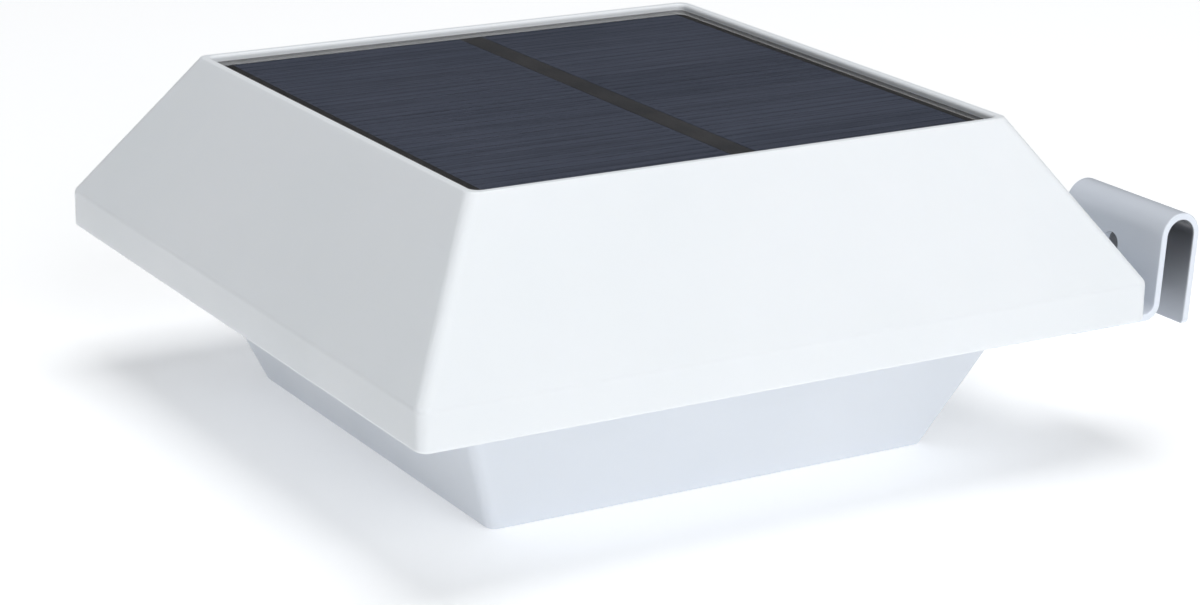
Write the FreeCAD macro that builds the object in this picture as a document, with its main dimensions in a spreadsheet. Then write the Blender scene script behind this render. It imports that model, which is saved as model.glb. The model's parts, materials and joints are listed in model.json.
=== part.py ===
import FreeCAD
import Part

import math
import os
import re

import Sketcher

# Square solar gutter light: a white bevelled shell with a solar panel sunk in its top, a frosted
# light box below, and two painted steel hooks at the rear that hang over the lip of a gutter.
# Frame: origin at the centre of the light box's flat bottom, +Z up, hooks on the +Y side.

DIMENSIONS = [
    # the shell, a vertical band under a four-sided slope
    ("side_length", 115.0, "outer side of the shell at its base"),
    ("full_height", 49.5, "from the flat bottom of the light box to the rim"),
    ("base_level", 21.7, "underside of the shell"),
    ("band_height", 5.6, "vertical band below the slope"),
    ("top_length", 85.3, "outer side of the rim"),
    ("corner_radius", 1.7, "upright corners of the shell"),
    ("crease_radius", 1.2, "soft edge between band and slope"),
    ("edge_radius", 0.45, "small rounding on the rim and the lower edge"),
    ("wall_width", 2.4, "wall of the shell measured level"),
    ("inner_radius", 0.8, "corners of the hollow inside the shell"),
    ("ledge_width", 1.7, "inner rib that presses on the gasket"),
    # the recess for the solar panel
    ("recess_length", 82.7, "side of the recess"),
    ("recess_radius", 1.2, "corners of the recess"),
    ("recess_depth", 0.9, "from the rim down to the face of the panel"),
    ("recess_edge_radius", 0.55, "rounding where the rim turns down into the recess"),
    ("deck_thickness", 1.7, "floor that the panel is stuck to"),
    ("deck_hole_radius", 3.2, "hole in that floor for the panel leads"),
    # the solar panel
    ("panel_gap", 0.2, "play round the panel"),
    ("cover_thickness", 0.65, "clear cover of the cells"),
    ("cell_thickness", 0.25, "silicon strips"),
    ("board_thickness", 1.2, "board that carries the cells"),
    ("tape_thickness", 0.4, "foam tape under the board"),
    ("tape_width", 6.0, "width of the foam tape"),
    ("cell_margin", 1.9, "dark border round the cells"),
    ("cell_gap", 0.12, "gap between two strips"),
    ("cell_count", 10, "strips in each half of the panel"),
    ("bus_width", 4.0, "dark strip between the two halves"),
    ("bus_offset", 1.3, "how far that strip lies behind the middle"),
    # the base plate and the two seals
    ("plate_thickness", 3.0, "base plate"),
    ("plate_gap", 0.2, "play between the base plate and the shell"),
    ("gasket_width", 1.3, "gasket between base plate and shell"),
    ("gasket_height", 1.2, "height of that gasket"),
    ("groove_depth", 1.9, "groove that takes the rim of the light box"),
    ("groove_gap", 0.25, "play each side of that rim"),
    ("seal_height", 0.6, "sealing bead at the bottom of the groove"),
    # the light box
    ("lens_top_length", 89.5, "side where it meets the base plate"),
    ("lens_bottom_length", 71.5, "side of its flat bottom"),
    ("lens_radius", 1.7, "upright corners of the light box"),
    ("lens_inner_radius", 0.6, "the same corners inside"),
    ("lens_edge_radius", 0.6, "rounding round its flat bottom"),
    ("lens_wall", 1.9, "wall measured level"),
    ("lens_floor", 2.0, "thickness of the flat bottom"),
    ("lens_rim", 1.3, "rim that stands in the groove"),
    # the hooks, bent from one strip each
    ("hook_centre", 44.25, "middle of each hook, left and right of the centre"),
    ("strip_width", 21.5, "width of the strip"),
    ("strip_thickness", 1.1, "thickness of the strip"),
    ("flange_start", 46.0, "where the flange starts under the base plate"),
    ("flange_reach", 13.39, "length of the flange up to its bend"),
    ("bend_radius", 1.9, "bend between flange and front leg, at mid thickness"),
    ("lean_angle", 3.5, "lean of the legs in degrees"),
    ("front_leg", 9.66, "straight length of the front leg"),
    ("arch_radius", 2.85, "arch over the gutter lip, at mid thickness"),
    ("rear_leg", 13.2, "straight length of the rear leg"),
    ("tip_radius", 0.8, "rounded corners of the strip"),
    ("strip_edge_radius", 0.25, "softened long edges of the strip"),
    ("hook_hole_radius", 1.6, "hole in the front leg for a fixing screw"),
    ("hook_hole_level", 29.2, "height of that hole"),
    # the screws
    ("thread_radius", 1.25, "shank of the large screws, and their pilot holes"),
    ("clear_radius", 1.7, "clearance holes for the large screws"),
    ("head_radius", 2.8, "heads of the large screws"),
    ("head_height", 1.3, "height of those heads"),
    ("sink_depth", 1.2, "counterbore of the front case screws"),
    ("boss_radius", 2.9, "bosses inside the shell"),
    ("pilot_depth", 6.8, "pilot holes in the bosses"),
    ("screw_length", 9.5, "length of the large screws under the head"),
    ("case_screw_spot", 49.5, "front case screws, from the centre each way"),
    ("hook_screw_pitch", 8.0, "distance between the two screws of a hook"),
    ("hook_screw_line", 50.4, "line of the hook screws, from the centre"),
    ("small_thread", 0.8, "shank of the small screws, and their pilot holes"),
    ("small_clear", 1.1, "clearance holes for the small screws"),
    ("small_head", 1.9, "heads of the small screws"),
    ("small_head_height", 1.3, "height of those heads"),
    ("small_pilot_depth", 2.2, "how far the small pilot holes go past a post"),
    # the LED board in the light box
    ("led_board_length", 64.0, "side of the LED board"),
    ("led_board_thickness", 1.6, "thickness of the LED board"),
    ("led_post_height", 1.6, "posts between base plate and LED board"),
    ("led_post_spot", 28.0, "those posts, from the centre each way"),
    ("post_radius", 2.4, "radius of all the posts"),
    ("led_length", 3.5, "length of one LED"),
    ("led_width", 2.8, "width of one LED"),
    ("led_height", 0.8, "height of one LED"),
    ("led_columns", 4, "LEDs side by side"),
    ("led_rows", 3, "LEDs front to back"),
    ("led_pitch_side", 15.0, "distance between LEDs, sideways"),
    ("led_pitch_back", 19.0, "distance between LEDs, front to back"),
    ("resistor_length", 3.2, "length of one resistor"),
    ("resistor_width", 1.6, "width of one resistor"),
    ("resistor_height", 0.6, "height of one resistor"),
    # the battery in its tray
    ("cell_radius", 7.0, "radius of the rechargeable cell"),
    ("cell_length", 48.8, "length of its can"),
    ("nub_radius", 2.75, "radius of its positive end"),
    ("nub_length", 1.2, "height of its positive end"),
    ("sleeve_thickness", 0.25, "plastic sleeve round the cell"),
    ("tray_play", 0.15, "play between sleeve and tray"),
    ("tray_wall", 1.2, "walls of the tray"),
    ("tray_floor", 1.0, "floor of the tray"),
    ("tray_height", 11.3, "height of the tray"),
    ("tray_offset", 24.0, "how far the tray lies in front of the centre"),
    ("ear_spot", 18.0, "the tray's two ears, sideways from its middle"),
    ("ear_length", 6.0, "each ear, along the tray"),
    ("ear_width", 5.2, "each ear, out from the tray"),
    ("contact_thickness", 0.5, "contact plates"),
    ("contact_width", 11.0, "width of the contact plates"),
    ("battery_spring_length", 5.0, "spring at the negative end"),
    ("battery_spring_radius", 3.2, "that spring, at the middle of its wire"),
    ("battery_wire_radius", 0.35, "wire of that spring"),
    # the control board
    ("control_length", 44.0, "length of the control board"),
    ("control_width", 28.0, "width of the control board"),
    ("control_thickness", 1.6, "thickness of the control board"),
    ("control_left", -4.0, "middle of the control board, sideways"),
    ("control_back", 18.0, "middle of the control board, to the rear"),
    ("control_post_height", 4.0, "posts under the control board"),
    ("control_post_inset", 3.0, "those posts, from the edges of the board"),
    ("socket_height", 4.2, "sockets for the leads"),
    ("socket_length", 6.4, "length of a socket for two leads"),
    ("socket_width", 5.0, "width of such a socket"),
    ("socket_row", -10.5, "line of the front sockets, from the middle of the board"),
    ("chip_length", 4.9, "charge controller, along its legs' rows"),
    ("chip_width", 3.9, "charge controller, across them"),
    ("chip_height", 1.4, "height of the charge controller"),
    ("chip_leg_span", 6.0, "across the legs of the charge controller"),
    ("chip_leg_height", 0.5, "height of those legs"),
    ("inductor_radius", 2.9, "core of the inductor"),
    ("inductor_height", 4.5, "height of the inductor"),
    ("inductor_foot", 6.6, "square foot of the inductor"),
    ("inductor_foot_height", 0.8, "thickness of that foot"),
    ("capacitor_radius", 3.15, "radius of the capacitor"),
    ("capacitor_height", 7.7, "height of the capacitor"),
    # the push switch
    ("switch_back", 48.3, "axis of the push switch, behind the centre"),
    ("button_radius", 2.7, "radius of the button"),
    ("button_play", 0.1, "play round the button"),
    ("button_proud", 1.8, "how far the button stands out below"),
    ("button_edge_radius", 0.6, "rounding of the button's lower edge"),
    ("button_travel", 1.5, "travel of the button"),
    ("collar_radius", 3.3, "collar that keeps the button in"),
    ("collar_height", 1.0, "height of the collar"),
    ("collar_play", 0.05, "gap under the collar at rest"),
    ("housing_length", 8.4, "side of the switch housing"),
    ("housing_roof", 1.0, "roof of the switch housing"),
    ("housing_play", 0.15, "play between the collar and the housing"),
    ("plunger_radius", 1.0, "plunger above the button"),
    ("plunger_play", 0.2, "play round the plunger in the roof"),
    ("plunger_proud", 0.25, "how far the plunger stands out of the roof"),
    ("button_spring_radius", 2.0, "return spring, at the middle of its wire"),
    ("button_wire_radius", 0.18, "wire of the return spring"),
    ("squeezed_spring", 2.45, "its length when the button is pressed home"),
    ("tab_spot", 2.0, "terminals of the switch, left and right of its axis"),
    ("tab_width", 1.4, "width of a terminal"),
    ("tab_length", 2.2, "length of a terminal"),
    ("tab_thickness", 0.5, "thickness of a terminal"),
    ("tab_level", 3.75, "middle of the terminals above the base plate"),
    # the leads
    ("lead_radius", 0.45, "insulated leads"),
    ("lead_spread", 1.1, "each lead of a pair, from the middle of its socket"),
    ("lead_hole_radius", 2.4, "hole in the base plate for the LED leads"),
    ("lead_hole_side", 22.0, "that hole, sideways from the centre"),
    ("lead_hole_back", 12.0, "that hole, behind the centre"),
    ("lead_head_room", 1.7, "between the top of the leads' runs and the deck"),
]

FRONT, REAR = -1, 1
LEFT, RIGHT = -1, 1
BOTH_SIDES = (LEFT, RIGHT)
SPRING_STEPS = 12      # corners to one turn of a spring
SPRING_SHARE = 0.48    # how much of a run the arc at each end takes up, in a spring
LEAD_SHARE = 0.45      # and in a lead

doc = FreeCAD.newDocument("SolarGutterLight")
sheet = doc.addObject("Spreadsheet::Sheet", "Dimensions")
for row, (alias, number, note) in enumerate(DIMENSIONS, start=1):
    sheet.set(f"A{row}", str(number))
    sheet.setAlias(f"A{row}", alias)
    sheet.set(f"B{row}", note)
doc.recompute()

ALIASES = {alias for alias, number, note in DIMENSIONS}
nodes = []


# ---- expressions over the sheet -------------------------------------------------------------

def linked(formula):
    """The formula with each alias written as a reference to its cell."""
    def replace(match):
        word = match.group(0)
        return f"Dimensions.{word}" if word in ALIASES else word
    return re.sub(r"[A-Za-z_]+", replace, str(formula))


def value(formula):
    """The number that a formula over the sheet gives now."""
    result = sheet.evalExpression(linked(formula))
    return float(getattr(result, "Value", result))


def bind(obj, name, formula):
    obj.setExpression(name, linked(formula))


def place(obj, x=0, y=0, z=0):
    for letter, formula in zip("xyz", (x, y, z)):
        bind(obj, f"Placement.Base.{letter}", formula)


def node(obj, label):
    """Register a finished sub-part; its label names its file."""
    obj.Label = label
    nodes.append(obj)
    return obj


BAND_TOP = "(base_level + band_height)"
SLOPE = "((side_length - top_length) / 2 / (full_height - base_level - band_height))"
PLATE_TOP = "(base_level + plate_thickness)"
GASKET_TOP = f"({PLATE_TOP} + gasket_height)"
PANEL_TOP = "(full_height - recess_depth)"
CELL_TOP = f"({PANEL_TOP} - cover_thickness)"
CELL_BOTTOM = f"({CELL_TOP} - cell_thickness)"
BOARD_BOTTOM = f"({CELL_BOTTOM} - board_thickness)"
DECK_TOP = f"({BOARD_BOTTOM} - tape_thickness)"
DECK_BOTTOM = f"({DECK_TOP} - deck_thickness)"
PANEL_LENGTH = "(recess_length - 2 * panel_gap)"
LENS_HOLLOW = "(lens_top_length - 2 * lens_wall)"
LED_BOARD_BOTTOM = "(base_level - led_post_height - led_board_thickness)"
CONTROL_BOTTOM = f"({PLATE_TOP} + control_post_height)"
CONTROL_TOP = f"({CONTROL_BOTTOM} + control_thickness)"


# ---- Part primitives and booleans -----------------------------------------------------------

def block(name, length, width, height, x, y, z):
    """A box centred on x and y, standing on z."""
    box = doc.addObject("Part::Box", name)
    bind(box, "Length", length)
    bind(box, "Width", width)
    bind(box, "Height", height)
    place(box, f"{x} - ({length}) / 2", f"{y} - ({width}) / 2", z)
    return box


def rod(name, radius, height, x, y, z):
    """An upright cylinder standing on z."""
    cylinder = doc.addObject("Part::Cylinder", name)
    bind(cylinder, "Radius", radius)
    bind(cylinder, "Height", height)
    place(cylinder, x, y, z)
    return cylinder


def lying_rod(name, radius, length, x, y, z):
    """A cylinder along +X that starts at x."""
    cylinder = rod(name, radius, length, x, y, z)
    cylinder.Placement.Rotation = FreeCAD.Rotation(FreeCAD.Vector(0, 1, 0), 90)
    return cylinder


def cut(name, base, tool):
    result = doc.addObject("Part::Cut", name)
    result.Base = base
    result.Tool = tool
    return result


def fuse(name, shapes):
    result = doc.addObject("Part::MultiFuse", name)
    result.Shapes = shapes
    return result


def group(name, shapes):
    """Separate solids that share one node."""
    result = doc.addObject("Part::Compound", name)
    result.Links = shapes
    return result


def square_spots(spot):
    """The four places at plus and minus spot."""
    return [(f"{x} * {spot}", f"{y} * {spot}") for x in BOTH_SIDES for y in (FRONT, REAR)]


# ---- PartDesign bodies ----------------------------------------------------------------------

def new_body(name):
    return doc.addObject("PartDesign::Body", name)


def plane(body, role):
    return next(f for f in body.Origin.OriginFeatures if f.Role == role)


def new_sketch(body, name, role, offset):
    """A sketch parallel to one origin plane of its body, moved along that plane's normal."""
    sketch = body.newObject("Sketcher::SketchObject", name)
    sketch.AttachmentSupport = (plane(body, role), "")
    sketch.MapMode = "FlatFace"
    bind(sketch, "AttachmentOffset.Base.z", offset)
    return sketch


def pin_distance(sketch, kind, geometry, point, formula):
    """Hold one coordinate of a point at a formula's value, on whichever side of the origin it is."""
    number = value(formula)
    origin = (-1, 1)
    ends = (*origin, geometry, point) if number >= 0 else (geometry, point, *origin)
    index = sketch.addConstraint(Sketcher.Constraint(kind, *ends, abs(number)))
    sketch.setExpression(f"Constraints[{index}]", linked(f"abs({formula})"))


def pin_size(sketch, kind, geometry, formula):
    """Hold a length or a radius at a formula's value."""
    index = sketch.addConstraint(Sketcher.Constraint(kind, geometry, value(formula)))
    sketch.setExpression(f"Constraints[{index}]", linked(formula))


def add_line(sketch, start, end):
    return sketch.addGeometry(
        Part.LineSegment(FreeCAD.Vector(*start, 0), FreeCAD.Vector(*end, 0)), False)


def add_arc(sketch, centre, radius, start_angle, end_angle):
    circle = Part.Circle(FreeCAD.Vector(*centre, 0), FreeCAD.Vector(0, 0, 1), radius)
    return sketch.addGeometry(Part.ArcOfCircle(circle, start_angle, end_angle), False)


def join_smoothly(sketch, first, first_end, second, second_end):
    sketch.addConstraint(Sketcher.Constraint("Tangent", first, first_end, second, second_end))


def draw_rounded(sketch, length, width, radius):
    """A rectangle with rounded corners, centred on the sketch's origin."""
    half_x, half_y = value(length) / 2, value(width) / 2
    r = value(radius)
    in_x, in_y = half_x - r, half_y - r
    quarter = math.pi / 2
    bottom = add_line(sketch, (-in_x, -half_y), (in_x, -half_y))
    right = add_line(sketch, (half_x, -in_y), (half_x, in_y))
    top = add_line(sketch, (in_x, half_y), (-in_x, half_y))
    left = add_line(sketch, (-half_x, in_y), (-half_x, -in_y))
    arcs = [
        add_arc(sketch, (in_x, -in_y), r, -quarter, 0),
        add_arc(sketch, (in_x, in_y), r, 0, quarter),
        add_arc(sketch, (-in_x, in_y), r, quarter, 2 * quarter),
        add_arc(sketch, (-in_x, -in_y), r, 2 * quarter, 3 * quarter),
    ]
    sides = [bottom, right, top, left]
    for index, arc in enumerate(arcs):
        join_smoothly(sketch, sides[index], 2, arc, 1)
        join_smoothly(sketch, arc, 2, sides[(index + 1) % 4], 1)
    for side in (bottom, top):
        sketch.addConstraint(Sketcher.Constraint("Horizontal", side))
    for side in (right, left):
        sketch.addConstraint(Sketcher.Constraint("Vertical", side))
    for arc in arcs[1:]:
        sketch.addConstraint(Sketcher.Constraint("Equal", arcs[0], arc))
    pin_size(sketch, "Radius", arcs[0], radius)
    pin_distance(sketch, "DistanceY", bottom, 1, f"-({width}) / 2")
    pin_distance(sketch, "DistanceY", top, 1, f"({width}) / 2")
    pin_distance(sketch, "DistanceX", left, 1, f"-({length}) / 2")
    pin_distance(sketch, "DistanceX", right, 1, f"({length}) / 2")


def draw_rectangle(sketch, length, width):
    """A sharp-cornered rectangle, centred on the sketch's origin."""
    half_x, half_y = value(length) / 2, value(width) / 2
    corners = [(-half_x, -half_y), (half_x, -half_y), (half_x, half_y), (-half_x, half_y)]
    sides = [add_line(sketch, corners[i], corners[(i + 1) % 4]) for i in range(4)]
    for side, following in zip(sides, sides[1:] + sides[:1]):
        sketch.addConstraint(Sketcher.Constraint("Coincident", side, 2, following, 1))
    for side, kind in zip(sides, ("Horizontal", "Vertical", "Horizontal", "Vertical")):
        sketch.addConstraint(Sketcher.Constraint(kind, side))
    for side, end in ((sides[0], -1), (sides[2], 1)):
        pin_distance(sketch, "DistanceX", side, 1, f"{end} * ({length}) / 2")
        pin_distance(sketch, "DistanceY", side, 1, f"{end} * ({width}) / 2")


def draw_circles(sketch, radius, spots):
    for x, y in spots:
        centre = FreeCAD.Vector(value(x), value(y), 0)
        circle = sketch.addGeometry(
            Part.Circle(centre, FreeCAD.Vector(0, 0, 1), value(radius)), False)
        pin_distance(sketch, "DistanceX", circle, 3, x)
        pin_distance(sketch, "DistanceY", circle, 3, y)
        pin_size(sketch, "Radius", circle, radius)


def rounded_section(body, name, level, length, radius):
    sketch = new_sketch(body, name, "XY_Plane", level)
    draw_rounded(sketch, length, length, radius)
    return sketch


def pad(body, name, sketch, length):
    feature = body.newObject("PartDesign::Pad", name)
    feature.Profile = sketch
    bind(feature, "Length", length)
    return feature


def pocket(body, name, sketch, length, along_normal=True):
    """A cut from the sketch; a cut that removes nothing is an error."""
    doc.recompute()
    before = body.Shape.Volume
    feature = body.newObject("PartDesign::Pocket", name)
    feature.Profile = sketch
    bind(feature, "Length", length)
    feature.Reversed = along_normal
    doc.recompute()
    if body.Shape.Volume > before - 1e-6:
        raise RuntimeError(f"{name} cuts nothing")
    return feature


def loft(body, name, kind, sections):
    feature = body.newObject(kind, name)
    feature.Profile = sections[0]
    feature.Sections = sections[1:]
    feature.Ruled = True
    return feature


def drill(body, name, level, radius, spots, depth):
    """Round holes upwards from a level."""
    sketch = new_sketch(body, f"{name}_sketch", "XY_Plane", level)
    draw_circles(sketch, radius, spots)
    return pocket(body, name, sketch, depth)


def square_plate(name, length, radius, level, thickness, hole=None, hole_radius=None):
    """A level square plate with rounded corners, or a ring if it has a square hole."""
    body = new_body(name)
    outline = rounded_section(body, f"{name}Outline", level, length, radius)
    if hole:
        draw_rounded(outline, hole, hole, hole_radius)
    pad(body, f"{name}Pad", outline, thickness)
    return body


def round_edges(body, name, radius, chosen):
    """Fillet the edges that a test accepts."""
    doc.recompute()
    base = body.Tip
    edges = [f"Edge{i}" for i, edge in enumerate(base.Shape.Edges, start=1) if chosen(edge)]
    if not edges:
        raise RuntimeError(f"{name} finds no edges")
    feature = body.newObject("PartDesign::Fillet", name)
    feature.Base = (base, edges)
    bind(feature, "Radius", radius)
    return feature


def at_level(formula):
    """A test for edges that lie in one level plane."""
    level = value(formula)
    def test(edge):
        box = edge.BoundBox
        return abs(box.ZMin - level) < 1e-4 and abs(box.ZMax - level) < 1e-4
    return test


# ---- screws, springs and leads --------------------------------------------------------------

def pan_screw(name, shank, length, head, head_height, x, y, z, points_up):
    """A cross-recess screw whose head's seat is at z; its shank points up or down."""
    turn = FreeCAD.Rotation() if points_up else FreeCAD.Rotation(FreeCAD.Vector(1, 0, 0), 180)
    tip = f"({shank} * 1.6)"
    shaft = rod(f"{name}_shaft", shank, f"({length}) - {tip}", 0, 0, 0)
    point = doc.addObject("Part::Cone", f"{name}_point")
    bind(point, "Radius1", shank)
    bind(point, "Radius2", f"{shank} * 0.25")
    bind(point, "Height", tip)
    place(point, z=f"({length}) - {tip}")
    cap = doc.addObject("Part::Cone", f"{name}_cap")
    bind(cap, "Radius1", f"{head} * 0.72")
    bind(cap, "Radius2", head)
    bind(cap, "Height", f"({head_height}) * 0.55")
    place(cap, z=f"-({head_height})")
    rim = rod(f"{name}_rim", head, f"({head_height}) * 0.45", 0, 0, f"-({head_height}) * 0.45")
    solid = fuse(f"{name}_solid", [shaft, point, cap, rim])
    long_side, short_side = f"({head}) * 1.1", f"({head}) * 0.3"
    recess = fuse(f"{name}_recess", [
        block(f"{name}_slot_a", long_side, short_side, f"({head_height}) * 0.6",
              0, 0, f"-({head_height})"),
        block(f"{name}_slot_b", short_side, long_side, f"({head_height}) * 0.6",
              0, 0, f"-({head_height})"),
    ])
    screw = cut(name, solid, recess)
    screw.Placement.Rotation = turn
    place(screw, x, y, z)
    return screw


def round_path(corners, share):
    """Straight runs joined by tangent arcs that take up a share of the shorter run on each side."""
    edges = []
    radii = []
    start = corners[0]
    for before, corner, after in zip(corners, corners[1:], corners[2:]):
        arriving, leaving = corner - before, after - corner
        trim = share * min(arriving.Length, leaving.Length)
        arriving.normalize()
        leaving.normalize()
        half_turn = arriving.getAngle(leaving) / 2
        radius = trim / math.tan(half_turn)
        radii.append(radius)
        arc_start, arc_end = corner - arriving * trim, corner + leaving * trim
        inwards = (leaving - arriving).normalize()
        middle = corner + inwards * radius * (1 / math.cos(half_turn) - 1)
        edges.append(Part.LineSegment(start, arc_start).toShape())
        edges.append(Part.Arc(arc_start, middle, arc_end).toShape())
        start = arc_end
    edges.append(Part.LineSegment(start, corners[-1]).toShape())
    return Part.Wire(edges), radii


def round_tube(path, corners, radius):
    """A solid round bar along a path."""
    section = Part.Wire(Part.makeCircle(radius, corners[0], corners[1] - corners[0]))
    return path.makePipeShell([section], True, False)


def spring(label, radius, wire, height, turns, base, along):
    """An open-ended coil spring of a height, wound round an axis from its base."""
    coil_radius, wire_radius = value(radius), value(wire)
    rise = value(height) - 2 * wire_radius
    steps = SPRING_STEPS * turns
    # the corners lie a little outside the coil, because the arcs between them cut inside
    reach = coil_radius / math.cos(math.pi / SPRING_STEPS)
    corners = []
    for step in range(steps + 1):
        angle = 2 * math.pi * step / SPRING_STEPS
        corners.append(FreeCAD.Vector(reach * math.cos(angle), reach * math.sin(angle),
                                      wire_radius + rise * step / steps))
    path = round_path(corners, SPRING_SHARE)[0]
    feature = doc.addObject("Part::Feature", label)
    feature.Shape = round_tube(path, corners, wire_radius)
    turn = FreeCAD.Rotation(FreeCAD.Vector(0, 0, 1), along)
    feature.Placement = FreeCAD.Placement(FreeCAD.Vector(*map(value, base)), turn)
    return node(feature, label)


def lead(label, points):
    """An insulated lead through points, with bends as large as its runs allow."""
    corners = [FreeCAD.Vector(*point) for point in points]
    path, radii = round_path(corners, LEAD_SHARE)
    radius = value("lead_radius")
    feature = doc.addObject("Part::Feature", label)
    feature.Shape = round_tube(path, corners, radius)
    expected = math.pi * radius ** 2 * path.Length
    print(f"{label}: radii {[round(r, 1) for r in radii]} mm,"
          f" volume {feature.Shape.Volume:.2f} of {expected:.2f} mm3")
    return node(feature, label)


# ---- the shell ------------------------------------------------------------------------------

CASE_SCREWS = [(f"{x} * case_screw_spot", "-case_screw_spot") for x in BOTH_SIDES]
HOOK_SCREWS = [(f"{side} * hook_centre + {end} * hook_screw_pitch / 2", "hook_screw_line")
               for side in BOTH_SIDES for end in (-1, 1)]


def make_shell():
    outside = new_body("ShellOutside")
    base = rounded_section(outside, "BandBase", "base_level", "side_length", "corner_radius")
    pad(outside, "Band", base, "band_height")
    slope_base = rounded_section(outside, "SlopeBase", BAND_TOP, "side_length", "corner_radius")
    slope_top = rounded_section(outside, "SlopeTop", "full_height", "top_length", "corner_radius")
    loft(outside, "Slope", "PartDesign::AdditiveLoft", [slope_base, slope_top])
    round_edges(outside, "CreaseRounding", "crease_radius", at_level(BAND_TOP))
    round_edges(outside, "RimRounding", "edge_radius", at_level("full_height"))
    round_edges(outside, "LowerRounding", "edge_radius", at_level("base_level"))
    recess = rounded_section(outside, "RecessOutline", DECK_TOP, "recess_length",
                             "recess_radius")
    pocket(outside, "Recess", recess, f"full_height - {DECK_TOP} + 1")
    in_rim_plane = at_level("full_height")
    reach = value("recess_length / 2") + 1e-4

    def on_recess(edge):
        box = edge.BoundBox
        return in_rim_plane(edge) and max(-box.XMin, box.XMax, -box.YMin, box.YMax) < reach

    round_edges(outside, "RecessRounding", "recess_edge_radius", on_recess)

    inner_length = "(side_length - 2 * wall_width)"
    hollow = new_body("ShellHollow")
    mouth = rounded_section(hollow, "Mouth", "base_level", inner_length, "inner_radius")
    pad(hollow, "MouthPad", mouth, "plate_thickness + gasket_height")
    throat = rounded_section(hollow, "Throat", GASKET_TOP, f"{inner_length} - 2 * ledge_width",
                             "inner_radius")
    pad(hollow, "ThroatPad", throat, f"{BAND_TOP} - {GASKET_TOP}")
    low = rounded_section(hollow, "HollowLow", BAND_TOP, inner_length, "inner_radius")
    high = rounded_section(hollow, "HollowHigh", DECK_BOTTOM,
                           f"{inner_length} - 2 * {SLOPE} * ({DECK_BOTTOM} - {BAND_TOP})",
                           "inner_radius")
    loft(hollow, "HollowSlope", "PartDesign::AdditiveLoft", [low, high])
    drill(hollow, "Bosses", PLATE_TOP, "boss_radius", CASE_SCREWS + HOOK_SCREWS,
          f"{DECK_BOTTOM} - {PLATE_TOP}")

    holes = [rod(f"Pilot{i}", "thread_radius", "pilot_depth", x, y, PLATE_TOP)
             for i, (x, y) in enumerate(CASE_SCREWS + HOOK_SCREWS)]
    holes.append(rod("DeckHole", "deck_hole_radius", "deck_thickness + 2",
                     "control_left + 2", "control_back - 6", f"{DECK_BOTTOM} - 1"))
    shell = cut("ShellWalls", outside, hollow)
    node(cut("Shell", shell, fuse("ShellHoles", holes)), "top_shell")


def make_gasket():
    outer = "side_length - 2 * wall_width - 2 * plate_gap"
    node(square_plate("Gasket", outer, "inner_radius", PLATE_TOP, "gasket_height",
                      f"{outer} - 2 * gasket_width", "inner_radius / 2"), "shell_gasket")


# ---- the solar panel ------------------------------------------------------------------------

def make_panel():
    node(square_plate("Tape", PANEL_LENGTH, "recess_radius", DECK_TOP, "tape_thickness",
                      f"{PANEL_LENGTH} - 2 * tape_width", "recess_radius"), "panel_tape")
    node(square_plate("PanelBoard", PANEL_LENGTH, "recess_radius", BOARD_BOTTOM,
                      "board_thickness"), "panel_board")
    node(square_plate("PanelCover", PANEL_LENGTH, "recess_radius", CELL_TOP,
                      "cover_thickness"), "panel_cover")
    row_length = f"({PANEL_LENGTH} - 2 * cell_margin)"
    pitch = f"({row_length} / cell_count)"
    for end, label in ((FRONT, "solar_cells_front"), (REAR, "solar_cells_rear")):
        far_edge = f"({end} * {row_length} / 2)"
        near_edge = f"(bus_offset + {end} * bus_width / 2)"
        strips = [
            block(f"{label}_strip{i}", f"{pitch} - cell_gap", f"abs({far_edge} - {near_edge})",
                  "cell_thickness", f"({i} + 0.5) * {pitch} - {row_length} / 2",
                  f"({far_edge} + {near_edge}) / 2", CELL_BOTTOM)
            for i in range(int(value("cell_count")))
        ]
        node(group(f"{label}_group", strips), label)
    node(block("BusStrip", row_length, "bus_width - 0.4", "cell_thickness", 0, "bus_offset",
               CELL_BOTTOM), "panel_busbar")


# ---- the base plate -------------------------------------------------------------------------

CONTROL_POSTS = [
    (f"control_left + {x} * (control_length / 2 - control_post_inset)",
     f"control_back + {y} * (control_width / 2 - control_post_inset)")
    for x in BOTH_SIDES for y in (FRONT, REAR)
]
LED_POSTS = square_spots("led_post_spot")
LED_LEAD_HOLE = ("lead_hole_side", "lead_hole_back")
SLEEVED = "(cell_radius + sleeve_thickness + tray_play)"
TRAY_SCREWS = [(f"{side} * ear_spot",
                f"-tray_offset + {side} * ({SLEEVED} + tray_wall + ear_width / 2)")
               for side in BOTH_SIDES]


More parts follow.
